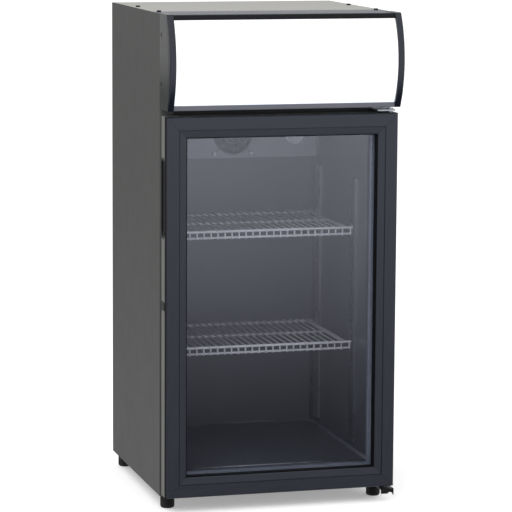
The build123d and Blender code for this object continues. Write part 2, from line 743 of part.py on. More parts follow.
def door_inset_block(inset, y0, y1):
    """A block inset from the door's outer edge by the same amount all round."""
    x = DOOR_HALF_WIDTH - inset
    return block(-x, x, y0, y1, DOOR_BOTTOM + inset, DOOR_TOP - inset)


def grip_shape(grow, depth, x_face):
    """Long round-ended block in the door's handle-side face."""
    length = GRIP_LENGTH + 2 * grow
    width = 22 + 2 * grow
    outline = Rot(0, 90, 0) * SlotOverall(length, width)
    return Pos(x_face, (PROFILE_BACK + CARRIER_BACK) / 2, GRIP_CENTRE_Z) * extrude(outline, amount=depth)


def door_carrier_frame():
    """Grey carrier members with the grip pocket, lock pocket and hinge bores."""
    left, right, top, bottom = mitred_frame(carrier_section(), FRAME_BAND, 0)
    left -= grip_shape(0, 18, -DOOR_HALF_WIDTH)
    left -= block(-212.2, -206.5, -27, CARRIER_BACK + 1, LOCK_Z - 30, LOCK_Z + 7)
    left -= rod_x(5.3, -220, -210, LOCK_Y, LOCK_Z)
    bores = rod_z(6.2, 677.5, 700, HINGE_X, HINGE_Y) + rod_z(6.2, 0, 20.5, HINGE_X, HINGE_Y)
    bores += rod_z(3, 20, 301, HINGE_X, HINGE_Y)
    return [left, right - bores, top - bores, bottom - bores]


def grip_cup():
    """Black moulded finger pull set in the door's edge."""
    cup = grip_shape(-0.2, 17.5, -DOOR_HALF_WIDTH)
    cup += grip_shape(2.6, 1, -HALF_WIDTH)
    return cup - grip_shape(-1.8, 17, -HALF_WIDTH)


def lock_escutcheon():
    """Small black plate round the lock."""
    plate = block(-HALF_WIDTH, -DOOR_HALF_WIDTH, -33.5, -10.5, LOCK_Z - 7.5, LOCK_Z + 7.5)
    plate = fillet(plate.edges().filter_by(Axis.X), 2)
    return plate - rod_x(5.05, -220, -210, LOCK_Y, LOCK_Z)


def lock_cylinder():
    """Lock plug with a keyway and a hooking cam that hangs down when open."""
    plug = rod_x(5, -214.9, -209, LOCK_Y, LOCK_Z)
    plug -= block(-216, -213.5, LOCK_Y - 0.6, LOCK_Y + 0.6, LOCK_Z - 3, LOCK_Z + 3)
    cam = block(-211.4, -209, LOCK_Y - 4, LOCK_Y + 4, LOCK_Z - 26, LOCK_Z + 4)
    return plug + cam


def glass_spacer(y0, y1):
    """Spacer between the panes, which shows a little wider on the hinge side."""
    window = block(
        -DOOR_HALF_WIDTH + FRAME_BAND + SPACER_LEFT,
        DOOR_HALF_WIDTH - FRAME_BAND - SPACER_RIGHT,
        y0,
        y1,
        DOOR_BOTTOM + FRAME_BAND + SPACER_FOOT,
        DOOR_TOP - FRAME_BAND - SPACER_HEAD,
    )
    return door_inset_block(GLASS_EDGE, y0, y1) - window


def glazing_seal():
    """Black seal in front of the glass, with a bead that lines the reveal."""
    seal = ring(GLASS_EDGE + 0.2, FRAME_BAND + 1.4 - GLASS_EDGE, PROFILE_BACK, GLASS_FRONT)
    return seal + ring(FRAME_BAND + 0.1, 1.5, DOOR_FRONT + 5, PROFILE_BACK)


def door_gasket():
    """Magnetic gasket on the back of the door."""
    seal = ring(10, 14, CARRIER_BACK, GASKET_BACK)
    return fillet(seal.edges().group_by(Axis.Y)[-1].filter_by(GeomType.LINE), 2)


def hinge_bushes():
    """Plastic bushes that turn on the hinge pins."""
    bore = PIN_RADIUS + RUNNING_GAP
    top = rod_z(6, 678, DOOR_TOP, HINGE_X, HINGE_Y) - rod_z(bore, 670, 700, HINGE_X, HINGE_Y)
    bottom = rod_z(6, DOOR_BOTTOM, 20, HINGE_X, HINGE_Y) - rod_z(bore, 0, 30, HINGE_X, HINGE_Y)
    return [top, bottom]


# ---------------------------------------------------------------- hinges and feet


def hinge_bracket_top():
    """Zinc-plated angle over the door's hinge corner."""
    plate = block(177, 212.3, HINGE_Y - 10, 0, TOP_BRACKET_Z, TOP_BRACKET_Z + 2.5)
    plate = fillet(plate.edges().filter_by(Axis.Z).group_by(Axis.Y)[0], 6)
    upright = block(177, 212.3, -2.5, 0, TOP_BRACKET_Z, 724)
    bracket = plate + upright
    for x, z in HINGE_SCREWS_TOP:
        bracket -= rod_y(2.2, -10, 5, x, z)
    return bracket - rod_z(PIN_RADIUS + RUNNING_GAP, 690, 700, HINGE_X, HINGE_Y)


def hinge_bracket_bottom():
    """Black plate under the base that carries the door, with an arched front lip."""
    plate = block(191, HALF_WIDTH, -46, 50, -3, 0) + block(178, 192, 4, 50, -3, 0)
    lip = block(191, HALF_WIDTH, -46, -43.5, -12.5, 0)
    lip -= rod_y(5.6, -50, -40, 208.2, -12.5)
    lip -= block(190, 203, -50, -40, -13, -9.5)
    bracket = plate + lip
    bracket -= rod_z(STUD_RADIUS + 0.3, -10, 5, FOOT_X, FOOT_FRONT_Y)
    for x, y in HINGE_SCREWS_BOTTOM:
        bracket -= rod_z(2.2, -10, 5, x, y)
    return bracket - rod_z(PIN_RADIUS + RUNNING_GAP, -10, 5, HINGE_X, HINGE_Y)


def hinge_pins():
    """Top pin with a flat head, and bottom pin with a thrust collar."""
    top = rod_z(PIN_RADIUS, 680, TOP_BRACKET_Z + 2.5, HINGE_X, HINGE_Y)
    top += rod_z(5.5, TOP_BRACKET_Z + 2.5, TOP_BRACKET_Z + 4.5, HINGE_X, HINGE_Y)
    bottom = rod_z(PIN_RADIUS, -4, 16, HINGE_X, HINGE_Y) + rod_z(7.5, 0, 4.2, HINGE_X, HINGE_Y)
    return [top, bottom]


def screw(direction, head, x, y, z):
    """Pan-head screw: its head at the given place, its shank pointing along a direction."""
    head_radius, head_height, shank_length = head
    cap = Pos(0, 0, head_height / 2) * Cylinder(head_radius, head_height)
    cap = fillet(cap.edges().filter_by(GeomType.CIRCLE).group_by(Axis.Z)[-1], head_height * 0.6)
    cross = Box(head_radius, 0.9, head_height) + Box(0.9, head_radius, head_height)
    cap -= Pos(0, 0, head_height) * cross
    shank = Pos(0, 0, -shank_length / 2) * Cylinder(1.8, shank_length)
    return Pos(x, y, z) * direction * (cap + shank)


def casing_screws():
    """Screws of the lid, canopy ends, fan and hinges."""
    up = Rot(0, 0, 0)
    down = Rot(180, 0, 0)
    to_left = Rot(0, -90, 0)
    to_front = Rot(90, 0, 0)
    lid_head = (4.2, 2.7, 9)
    small_head = (3.6, 1.2, 8)
    screws = []
    for y in TOP_SCREW_Y:
        screws += both_sides(screw(up, lid_head, -TOP_SCREW_X, y, CANOPY_TOP))
    for z in CANOPY_SCREW_Z:
        face_x = -HALF_WIDTH + 1.4
        screws += both_sides(screw(to_left, small_head, face_x, CANOPY_SCREW_Y, z))
    for x, z in fan_holes():
        screws.append(screw(to_front, (4, 2, 12), x, COVER_FRONT - 1.7, z))
    for x, z in HINGE_SCREWS_TOP:
        screws.append(screw(to_front, (4, 2.2, 2.4), x, -2.5, z))
    for x, y in HINGE_SCREWS_BOTTOM:
        screws.append(screw(down, (4, 2.2, 2.9), x, y, -3))
    return screws


def foot(x, y, top):
    """Round screw foot with a stud up into the casing."""
    pad = rod_z(FOOT_RADIUS, -FOOT_HEIGHT, top, x, y)
    pad = fillet(pad.edges().filter_by(GeomType.CIRCLE).group_by(Axis.Z)[0], 4.5)
    return pad + rod_z(STUD_RADIUS, top, 20, x, y)


# ---------------------------------------------------------------- output


def save_casing():
    left = side_panel()
    save("side_panel_left", left)
    right = mirrored(left)
    right += block(207, 212.5, 0, SHEET, LOCK_Z + LOCK_SLOT_LOW, LOCK_Z + LOCK_SLOT_HIGH)
    save("side_panel_right", right)
    save("back_panel", back_panel())
    save("base_panel", base_panel())
    save("top_panel", top_panel())
    save("machine_deck", machine_deck())
    save("foam_insulation", foam_insulation())
    save("inner_liner", inner_liner())
    save("rubber_buffers", rubber_buffers())
    save("casing_screws", casing_screws())


def save_cold_space():
    save("fan_cover", fan_cover())
    save("evaporator_coil", evaporator_coil())
    save("evaporator_fan_frame", evaporator_fan_frame())
    save("evaporator_fan_blades", evaporator_fan_blades())
    save("fan_guard", fan_guard())
    save("thermostat", thermostat())
    save("thermostat_knob", thermostat_knob())
    save("shelf_strips", shelf_strips())
    save("shelf_clips", shelf_clips())
    upper = shelf(SHELF_LEVELS[0])
    save("shelf_upper", upper)
    save("shelf_lower", Pos(0, 0, SHELF_LEVELS[1] - SHELF_LEVELS[0]) * upper)
    save("drain_tube", drain_tube())


def save_machinery():
    save("compressor", compressor())
    save("condenser_coil", condenser_coil())
    save("condenser_fan_motor", condenser_fan_motor())
    save("condenser_fan_blades", condenser_fan_blades())
    save("refrigerant_pipes", refrigerant_pipes())
    save("control_box", control_box())
    save("inlet_module", inlet_module())
    save("light_switch_rocker", light_switch_rocker())


def save_canopy():
    save("canopy_ends", both_sides(canopy_end()))
    save("canopy_trims", both_sides(canopy_trim()))
    save("canopy_diffuser", canopy_diffuser())
    save("canopy_top_rail", canopy_top_rail())
    save("canopy_bottom_rail", canopy_bottom_rail())
    save("canopy_top_cover", canopy_top_cover())
    save("canopy_back_plate", canopy_back_plate())
    save("led_strips", led_strips())


def save_door():
    left, right, top, bottom = mitred_frame(profile_section(), FRAME_BAND, MITRE_GAP)
    pin_hole = rod_z(6.2, 677.5, 700, HINGE_X, HINGE_Y) + rod_z(6.2, 0, 20.5, HINGE_X, HINGE_Y)
    save("door_stile_left", left)
    save("door_stile_right", right - pin_hole)
    save("door_rail_top", top - pin_hole)
    save("door_rail_bottom", bottom - pin_hole)
    save("door_carrier_frame", door_carrier_frame())
    glass_inner_front = GLASS_BACK - GLASS_THICKNESS
    glass_outer_back = GLASS_FRONT + GLASS_THICKNESS
    save("glass_outer", door_inset_block(GLASS_EDGE, GLASS_FRONT, glass_outer_back))
    save("glass_inner", door_inset_block(GLASS_EDGE, glass_inner_front, GLASS_BACK))
    save("glass_spacer", glass_spacer(glass_outer_back, glass_inner_front))
    save("glazing_seal", glazing_seal())
    save("door_gasket", door_gasket())
    save("grip_cup", grip_cup())
    save("lock_escutcheon", lock_escutcheon())
    save("lock_cylinder", lock_cylinder())
    save("hinge_bushes", hinge_bushes())
    save("closing_torsion_rod", rod_z(2.5, 20.5, 300, HINGE_X, HINGE_Y))


def save_hinges_and_feet():
    save("hinge_bracket_top", hinge_bracket_top())
    save("hinge_bracket_bottom", hinge_bracket_bottom())
    save("hinge_pins", hinge_pins())
    save("foot_front_left", foot(-FOOT_X, FOOT_FRONT_Y, 0))
    save("foot_front_right", foot(FOOT_X, FOOT_FRONT_Y, -3))
    save("foot_rear_left", foot(-FOOT_X, FOOT_REAR_Y, 0))
    save("foot_rear_right", foot(FOOT_X, FOOT_REAR_Y, 0))


save_casing()
save_cold_space()
save_machinery()
save_canopy()
save_door()
save_hinges_and_feet()
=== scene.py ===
import math

import bmesh
import bpy
from bpy.props import FloatProperty, FloatVectorProperty, PointerProperty
from mathutils import Matrix, Vector


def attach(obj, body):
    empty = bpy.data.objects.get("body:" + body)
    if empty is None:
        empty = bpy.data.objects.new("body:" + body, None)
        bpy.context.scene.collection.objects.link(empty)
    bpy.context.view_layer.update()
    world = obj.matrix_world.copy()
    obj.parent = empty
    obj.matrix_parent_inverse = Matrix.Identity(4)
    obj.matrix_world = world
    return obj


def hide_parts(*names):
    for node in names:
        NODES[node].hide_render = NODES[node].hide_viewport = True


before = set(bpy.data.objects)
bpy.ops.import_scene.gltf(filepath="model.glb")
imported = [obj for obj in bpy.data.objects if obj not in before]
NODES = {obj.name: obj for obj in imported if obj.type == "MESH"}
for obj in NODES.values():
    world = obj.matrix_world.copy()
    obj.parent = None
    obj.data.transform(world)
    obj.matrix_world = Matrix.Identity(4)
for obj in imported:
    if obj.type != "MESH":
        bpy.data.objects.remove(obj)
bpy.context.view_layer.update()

bl_info = {
    "name": "Glass door merchandiser",
    "version": (1, 0, 0),
    "blender": (4, 5, 0),
    "location": "View3D > Sidebar > Cooler",
    "description": "Finishes, details and studio for an upright display cooler with a glass door",
    "category": "Object",
}

DARK_SCREWS = (0.76, 0.92)
# Heights of the lock pocket, where the foam is darkened as painted shade.
LOCK_POCKET_SHADE = (0.35, 0.405)
LAMP_FOOT, LAMP_HEAD = 0.735, 0.885
LAMP_FOOT_TINT = (0.84, 0.9, 1.0)
BLACKING = 0.02
PANE_MIRROR_IOR = 1.8
FLAT_FACE = 0.999


def linear(code):
    """A colour such as 55504a as linear red, green and blue."""
    parts = [int(code[place : place + 2], 16) / 255 for place in (0, 2, 4)]
    return tuple(c / 12.92 if c <= 0.04045 else ((c + 0.055) / 1.055) ** 2.4 for c in parts)


def colour_property(name, description, code):
    """A colour that a user can change."""
    return FloatVectorProperty(
        name=name, description=description, default=linear(code), subtype="COLOR", size=3, min=0, max=1
    )


def length_property(name, description, size):
    """A small length in metres that a user can change."""
    return FloatProperty(
        name=name, description=description, default=size, unit="LENGTH", min=0.0005, precision=4
    )


class CoolerFinishes(bpy.types.PropertyGroup):
    """Colours of the cooler's surfaces."""

    case_paint: colour_property("Case paint", "Powder coat of the side panels", "3c3e3a")
    # The lid's light beige is a painted reflection: the pale surround seen at a grazing angle in the lid's
    # dark paint.
    lid_paint: colour_property("Lid paint", "Powder coat of the lid", "9b9a93")
    end_gloss: colour_property("Canopy end gloss", "Glossy end plates of the canopy", "1c1e1b")
    canopy_gloss: colour_property("Canopy gloss", "Glossy plastic round the lamp panel", "0b0d17")
    lamp_glow: colour_property("Lamp glow", "Light that comes through the lamp panel", "ffffff")
    door_anodising: colour_property("Door anodising", "Aluminium door profile", "23252d")
    carrier_plastic: colour_property("Carrier plastic", "Grey plastic behind the door profile", "5f605d")
    liner_plastic: colour_property("Liner plastic", "Walls of the cold space", "484c54")
    cover_plastic: colour_property("Cover plastic", "Fan cover under the ceiling", "80838b")
    bright_wire: colour_property("Bright wire", "Plated wire of the shelves, and the knob", "c2c4c8")
    zinc_plate: colour_property("Zinc plate", "Strips, clips, liner lip, hinges and screws", "b4b6b6")
    galvanised_sheet: colour_property("Galvanised sheet", "Back panel and control box", "8f9496")
    black_plastic: colour_property("Black plastic", "Grip, lock plate and small mouldings", "141416")
    foot_rubber: colour_property("Foot rubber", "Screw feet, buffers and plain door gasket", "121213")
    foam: colour_property("Foam", "Rigid foam between the walls", "d8cba0")
    copper: colour_property("Copper", "Refrigerant pipes", "b87350")


class CoolerSizes(bpy.types.PropertyGroup):
    """Sizes of the added pieces, and the level of the lamp."""

    cove_radius: length_property("Cove radius", "Rounding of the liner's inner corners", 0.005)
    lip_radius: length_property("Lip radius", "Half round along the liner's front edge", 0.0015)
    digit_height: length_property("Digit height", "Height of the dial's numbers", 0.0048)
    dial_radius: length_property("Dial radius", "Circle on which the dial's numbers stand", 0.0245)
    lamp_strength: FloatProperty(
        name="Lamp strength", description="Brightness of the lamp panel", default=0.9, min=0, max=20
    )


class CoolerStudio(bpy.types.PropertyGroup):
    """Light, floor and camera."""

    key_power: FloatProperty(
        name="Key light", description="Power of the large soft light above left", default=60, unit="POWER"
    )
    fill_power: FloatProperty(
        name="Fill light", description="Power of the soft light on the right", default=25, unit="POWER"
    )
    sky_strength: FloatProperty(
        name="Surround", description="Brightness of the pale surround", default=1.0, min=0
    )
    floor_colour: colour_property("Floor", "Pale studio floor", "f2f2f2")
    lens: FloatProperty(
        name="Lens", description="Focal length of the camera", default=186.45, unit="CAMERA"
    )


class Finish:
    """Builds one procedural material round a Principled shader."""

    def __init__(self, name, colour, roughness, metallic=0.0, **sockets):
        self.material = bpy.data.materials.new(name)
        self.material.use_nodes = True
        self.tree = self.material.node_tree
        self.shader = self.tree.nodes["Principled BSDF"]
        self.colour = tuple(colour)
        self.shader.inputs["Base Color"].default_value = (*colour, 1)
        self.shader.inputs["Roughness"].default_value = roughness
        self.shader.inputs["Metallic"].default_value = metallic
        for socket, value in sockets.items():
            self.shader.inputs[socket.replace("_", " ")].default_value = value
        self.place = self.node("ShaderNodeTexCoord").outputs["Object"]
        self.normal = None

    def node(self, kind, **settings):
        """A new node with some of its settings."""
        made = self.tree.nodes.new(kind)
        for key, value in settings.items():
            setattr(made, key, value)
        return made

    def link(self, output, target):
        """Join two sockets."""
        self.tree.links.new(output, target)

    def noise(self, scale, detail=3.0, stretch=(1, 1, 1)):
        """Noise in metres, stretched along an axis where stretch is small."""
        mapping = self.node("ShaderNodeMapping")
        mapping.inputs["Scale"].default_value = stretch
        self.link(self.place, mapping.inputs["Vector"])
        texture = self.node("ShaderNodeTexNoise")
        texture.inputs["Scale"].default_value = scale
        texture.inputs["Detail"].default_value = detail
        self.link(mapping.outputs["Vector"], texture.inputs["Vector"])
        return texture.outputs["Fac"]

    def cells(self, scale, stretch=(1, 1, 1)):
        """Irregular cells, for zinc crystals and foam bubbles."""
        mapping = self.node("ShaderNodeMapping")
        mapping.inputs["Scale"].default_value = stretch
        self.link(self.place, mapping.inputs["Vector"])
        texture = self.node("ShaderNodeTexVoronoi")
        texture.inputs["Scale"].default_value = scale
        self.link(mapping.outputs["Vector"], texture.inputs["Vector"])
        return texture

    def mottle(self, fac, spread, tint=(1, 1, 1)):
        """Colour that drifts a little darker and lighter."""
        ramp = self.node("ShaderNodeValToRGB")
        low = [c * (1 - spread) for c in self.colour]
        high = [min(1, c * (1 + spread) * t) for c, t in zip(self.colour, tint)]
        ramp.color_ramp.elements[0].position = 0.3
        ramp.color_ramp.elements[0].color = (*low, 1)
        ramp.color_ramp.elements[1].position = 0.7
        ramp.color_ramp.elements[1].color = (*high, 1)
        self.link(fac, ramp.inputs["Fac"])
        self.link(ramp.outputs["Color"], self.shader.inputs["Base Color"])
        return self

    def darken_sides(self, share):
        """Multiply the colour of faces that look along X, as painted shade on the sides of a profile, and
        make those faces matt.
        """
        split = self.node("ShaderNodeSeparateXYZ")
        self.link(self.node("ShaderNodeTexCoord").outputs["Normal"], split.inputs["Vector"])
        aside = self.node("ShaderNodeMath", operation="ABSOLUTE")
        self.link(split.outputs["X"], aside.inputs[0])
        spread = self.node("ShaderNodeMapRange")
        spread.inputs["From Min"].default_value = 0.8
        spread.inputs["From Max"].default_value = 0.95
        self.link(aside.outputs["Value"], spread.inputs["Value"])
        mix = self.node("ShaderNodeMixRGB", blend_type="MULTIPLY")
        mix.inputs[2].default_value = (share, share, share, 1)
        base = self.shader.inputs["Base Color"]
        self.link(spread.outputs["Result"], mix.inputs[0])
        self.link(base.links[0].from_socket, mix.inputs[1])
        self.link(mix.outputs[0], base)
        rough = self.shader.inputs["Roughness"]
        matt = self.node("ShaderNodeMath", operation="MAXIMUM")
        self.link(rough.links[0].from_socket, matt.inputs[0])
        self.link(spread.outputs["Result"], matt.inputs[1])
        self.link(matt.outputs["Value"], rough)
        return self

    def blacken_between(self, low, high):
        """Nearly black between two heights: the black finish of the canopy's screws, and painted shade in the
        lock pocket.
        """
        split = self.node("ShaderNodeSeparateXYZ")
        self.link(self.place, split.inputs["Vector"])
        near = self.node("ShaderNodeMath", operation="COMPARE")
        near.inputs[1].default_value = (low + high) / 2
        near.inputs[2].default_value = (high - low) / 2
        self.link(split.outputs["Z"], near.inputs[0])
        mix = self.node("ShaderNodeMixRGB", blend_type="MULTIPLY")
        mix.inputs[2].default_value = (BLACKING, BLACKING, BLACKING, 1)
        base = self.shader.inputs["Base Color"]
        self.link(near.outputs["Value"], mix.inputs[0])
        self.link(base.links[0].from_socket, mix.inputs[1])
        self.link(mix.outputs[0], base)
        return self

    def vary_roughness(self, fac, low, high):
        """Roughness that drifts between two values."""
        spread = self.node("ShaderNodeMapRange")
        spread.inputs["From Min"].default_value = 0.3
        spread.inputs["From Max"].default_value = 0.7
        spread.inputs["To Min"].default_value = low
        spread.inputs["To Max"].default_value = high
        self.link(fac, spread.inputs["Value"])
        self.link(spread.outputs["Result"], self.shader.inputs["Roughness"])
        return self

    def bump(self, fac, depth, strength=1.0):
        """A relief of the given depth in metres."""
        relief = self.node("ShaderNodeBump")
        relief.inputs["Distance"].default_value = depth
        relief.inputs["Strength"].default_value = strength
        self.link(fac, relief.inputs["Height"])
        if self.normal is not None:
            self.link(self.normal, relief.inputs["Normal"])
        self.normal = relief.outputs["Normal"]
        self.link(self.normal, self.shader.inputs["Normal"])
        return self


def wear(finish, *names):
    """Give CAD nodes a finish."""
    for name in names:
        node = NODES[name]
        node.data.materials.clear()
        node.data.materials.append(finish.material)


def powder_coat(name, colour, roughness=0.42, **sockets):
    """Fine orange-peel paint on sheet metal."""
    made = Finish(name, colour, roughness, **sockets)
    made.mottle(made.noise(5, 2), 0.015)
    made.vary_roughness(made.noise(25, 3), roughness - 0.015, roughness + 0.02)
    return made.bump(made.noise(1400, 2), 0.00004, 0.35)


def moulded(name, colour, roughness=0.5, grain=0.00003, **sockets):
    """Injection-moulded plastic with a fine spark-eroded grain."""
    made = Finish(name, colour, roughness, **sockets)
    made.mottle(made.noise(12, 3), 0.04)
    made.vary_roughness(made.noise(40, 3), roughness - 0.04, roughness + 0.05)
    return made.bump(made.noise(2200, 2), grain, 0.4)


def anodised(name, colour, along):
    """Satin anodised extrusion with faint draw lines, and painted shade that makes its sides beside the gaps
    nearly black.
    """
    stretch = [1.0, 1.0, 1.0]
    stretch["XYZ".index(along)] = 0.02
    made = Finish(name, colour, 0.42, 0.0, Specular_IOR_Level=0.35)
    lines = made.noise(900, 2, stretch)
    made.mottle(lines, 0.08, (1.0, 1.0, 1.06))
    made.vary_roughness(lines, 0.38, 0.48)
    # Painted shade: faces that look along X are darkened nearly to black and made matt.
    made.darken_sides(0.05)
    return made.bump(lines, 0.00002, 0.3)


def plated(name, colour, roughness=0.28, along=None):
    """Bright zinc or nickel plate."""
    stretch = [1.0, 1.0, 1.0]
    if along:
        stretch["XYZ".index(along)] = 0.03
    made = Finish(name, colour, roughness, 1.0)
    made.mottle(made.noise(60, 4, stretch), 0.06)
    made.vary_roughness(made.noise(300, 3, stretch), roughness - 0.06, roughness + 0.1)
    return made.bump(made.noise(800, 2, stretch), 0.00001, 0.3)


def galvanised(name, colour):
    """Zinc-coated sheet with its crystal pattern."""
    made = Finish(name, colour, 0.42, 0.85)
    crystals = made.cells(110)
    made.mottle(crystals.outputs["Distance"], 0.05)
    made.vary_roughness(crystals.outputs["Distance"], 0.34, 0.5)
    return made.bump(made.noise(500, 2), 0.00002, 0.3)


def rubber(name, colour, **sockets):
    """Matt rubber with a fine grain."""
    made = Finish(name, colour, 0.62, **sockets)
    made.mottle(made.noise(30, 3), 0.1)
    return made.bump(made.noise(1500, 3), 0.00005, 0.5)


def glass_pane(name):
    """Clear glass: each pane mirrors a little at its front and passes the rest straight through."""
    made = Finish(name, (0.93, 0.96, 0.96), 0.02)
    made.tree.nodes.remove(made.shader)
    clear = made.node("ShaderNodeBsdfTransparent")
    clear.inputs["Color"].default_value = (0.97, 0.97, 0.98, 1)
    mirror = made.node("ShaderNodeBsdfGlossy")
    mirror.inputs["Color"].default_value = (0.98, 0.98, 1.0, 1)
    mirror.inputs["Roughness"].default_value = 0.015
    share = made.node("ShaderNodeFresnel")
    share.inputs["IOR"].default_value = PANE_MIRROR_IOR
    facing = made.node("ShaderNodeNewGeometry")
    front = made.node("ShaderNodeMath", operation="SUBTRACT")
    front.inputs[0].default_value = 1
    made.link(facing.outputs["Backfacing"], front.inputs[1])
    both = made.node("ShaderNodeMath", operation="MULTIPLY")
    made.link(share.outputs["Fac"], both.inputs[0])
    made.link(front.outputs["Value"], both.inputs[1])
    mix = made.node("ShaderNodeMixShader")
    made.link(both.outputs["Value"], mix.inputs["Fac"])
    made.link(clear.outputs["BSDF"], mix.inputs[1])
    made.link(mirror.outputs["BSDF"], mix.inputs[2])
    out = made.tree.nodes["Material Output"]
    made.link(mix.outputs["Shader"], out.inputs["Surface"])
    return made


def glow(name, colour, strength):
    """Opal plastic lit from behind, a little bluer towards its foot."""
    made = Finish(name, (0.3, 0.3, 0.3), 0.3)
    made.mottle(made.noise(20, 2), 0.01)
    split = made.node("ShaderNodeSeparateXYZ")
    made.link(made.place, split.inputs["Vector"])
    height = made.node("ShaderNodeMapRange")
    height.inputs["From Min"].default_value = LAMP_FOOT
    height.inputs["From Max"].default_value = LAMP_HEAD
    made.link(split.outputs["Z"], height.inputs["Value"])
    ramp = made.node("ShaderNodeValToRGB")
    ramp.color_ramp.elements[0].color = (*(c * t for c, t in zip(colour, LAMP_FOOT_TINT)), 1)
    ramp.color_ramp.elements[1].color = (*colour, 1)
    ramp.color_ramp.elements[1].position = 0.6
    made.link(height.outputs["Result"], ramp.inputs["Fac"])
    made.link(ramp.outputs["Color"], made.shader.inputs["Emission Color"])
    made.shader.inputs["Emission Strength"].default_value = strength
    return made


def swept(name, stations, profile, closed):
    """A mesh of one closed profile carried along stations, each a corner with its aside and up vectors."""
    build = bmesh.new()
    rings = []
    for corner, aside, up in stations:
        place, across, along = (Vector(v) for v in (corner, aside, up))
        rings.append([build.verts.new(place + across * a + along * b) for a, b in profile])
    pairs = list(zip(rings, rings[1:]))
    if closed:
        pairs.append((rings[-1], rings[0]))
    else:
        build.faces.new(rings[0])
        build.faces.new(reversed(rings[-1]))
    for near, far in pairs:
        for number in range(len(profile)):
            after = (number + 1) % len(profile)
            build.faces.new((near[number], near[after], far[after], far[number]))
    bmesh.ops.recalc_face_normals(build, faces=build.faces)
    for face in build.faces:
        face.smooth = max(abs(c) for c in face.normal) < FLAT_FACE
    mesh = bpy.data.meshes.new(name)
    build.to_mesh(mesh)
    build.free()
    return mesh


def add_piece(mesh, finish, body, slot, *replaced):
    """Put a mesh in the scene as a piece that rides on a body."""
    piece = bpy.data.objects.new(mesh.name, mesh)
    bpy.context.scene.collection.objects.link(piece)
    mesh.materials.clear()
    mesh.materials.append(finish.material)
    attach(piece, body)
    if replaced:
        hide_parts(*replaced)
    return piece


LINER_SIDE = 0.178
LINER_MOUTH = -0.1575
LINER_BACK = 0.199
LINER_FLOOR = 0.072
LINER_CEILING = 0.693
COVE_STEPS = 10
LIP_TURNS = (0, 0.5, 1.05, 1.57, 2.1, 2.64, 3.14159)


def cove_profile(radius):
    """A concave quarter round that fills a corner."""
    turns = [math.pi / 2 * step / COVE_STEPS for step in range(COVE_STEPS + 1)]
    return [(0, 0)] + [(radius * (1 - math.cos(t)), radius * (1 - math.sin(t))) for t in turns]


class COOLER_OT_casing(bpy.types.Operator):
    """Paint the side panels and lid, and finish the hidden sheet metal and foam"""

    bl_idname = "cooler.casing"
    bl_label = "Casing"
    bl_options = {"REGISTER", "UNDO"}

    def execute(self, context):
        finishes = context.scene.cooler_finishes
        case = powder_coat("case_powder_coat", finishes.case_paint)
        wear(case, "side_panel_left", "side_panel_right")
        # Powder coat whose light colour is a painted reflection of the pale surround.
        lid = powder_coat("lid_coat_with_painted_reflection", finishes.lid_paint)
        wear(lid, "top_panel")
        sheet = galvanised("galvanised_sheet", finishes.galvanised_sheet)
        wear(sheet, "back_panel", "control_box")
        # Near black on the machine deck and base panel: painted shade for the dark gaps above and below the
        # door where they show.
        wear(powder_coat("deck_enamel_and_painted_shade", linear("0c0c0d"), 0.5), "machine_deck", "base_panel")
        foam = Finish("rigid_foam", finishes.foam, 0.9)
        foam.mottle(foam.noise(40, 4), 0.08)
        # Painted shade: the foam in the lock pocket is darkened nearly to black between these heights.
        foam.blacken_between(*LOCK_POCKET_SHADE)
        foam.bump(foam.cells(400).outputs["Distance"], 0.0004)
        wear(foam, "foam_insulation")
        return {"FINISHED"}


class COOLER_OT_canopy(bpy.types.Operator):
    """Finish the light box over the door"""

    bl_idname = "cooler.canopy"
    bl_label = "Canopy"
    bl_options = {"REGISTER", "UNDO"}

    def execute(self, context):
        finishes = context.scene.cooler_finishes
        sizes = context.scene.cooler_sizes
        gloss = Finish("canopy_gloss", finishes.canopy_gloss, 0.14, Coat_Weight=0.3, Coat_Roughness=0.05)
        gloss.mottle(gloss.noise(15, 3), 0.05)
        gloss.vary_roughness(gloss.noise(60, 3), 0.11, 0.19)
        wear(gloss, "canopy_trims")
        dark = moulded("dark_rail", linear("08090c"), 0.45, Specular_IOR_Level=0.2)
        wear(dark, "canopy_top_rail")
        satin = moulded("satin_rail", linear("4c4d54"), 0.4)
        wear(satin, "canopy_bottom_rail")
        ends = Finish("canopy_end_gloss", finishes.end_gloss, 0.08, Coat_Weight=0.5, Coat_Roughness=0.03)
        ends.mottle(ends.noise(9, 3), 0.05)
        ends.vary_roughness(ends.noise(30, 3), 0.06, 0.12)
        wear(ends, "canopy_ends")
        cover = powder_coat("canopy_cover_gloss", linear("4a4f5a"), 0.3)
        wear(cover, "canopy_top_cover")
        lamp = glow("opal_lamp_panel", finishes.lamp_glow, sizes.lamp_strength)
        wear(lamp, "canopy_diffuser")
        white = powder_coat("white_reflector", linear("eeeeee"), 0.5)
        wear(white, "canopy_back_plate", "led_strips")
        return {"FINISHED"}


class COOLER_OT_door(bpy.types.Operator):
    """Finish the door frame, grip, lock and seals, and the small black mouldings"""

    bl_idname = "cooler.door"
    bl_label = "Door"
    bl_options = {"REGISTER", "UNDO"}

    def execute(self, context):
        finishes = context.scene.cooler_finishes
        upright = anodised("door_anodising_upright", finishes.door_anodising, "Z")
        wear(upright, "door_stile_left", "door_stile_right")
        level = anodised("door_anodising_level", finishes.door_anodising, "X")
        wear(level, "door_rail_top", "door_rail_bottom")
        carrier = moulded("carrier_plastic", finishes.carrier_plastic, 0.55)
        wear(carrier, "door_carrier_frame")
        black = moulded("black_plastic", finishes.black_plastic, 0.4)
        wear(black, "grip_cup", "lock_escutcheon", "hinge_bushes", "drain_tube")
        soft = rubber("seal_rubber", finishes.foot_rubber)
        wedge = rubber("glazing_rubber", linear("060607"), Specular_IOR_Level=0.1)
        wear(wedge, "glazing_seal")
        wear(soft, "door_gasket")
        plate = plated("dark_lock_plug", linear("2a2a2c"), 0.3)
        wear(plate, "lock_cylinder", "closing_torsion_rod")
        return {"FINISHED"}


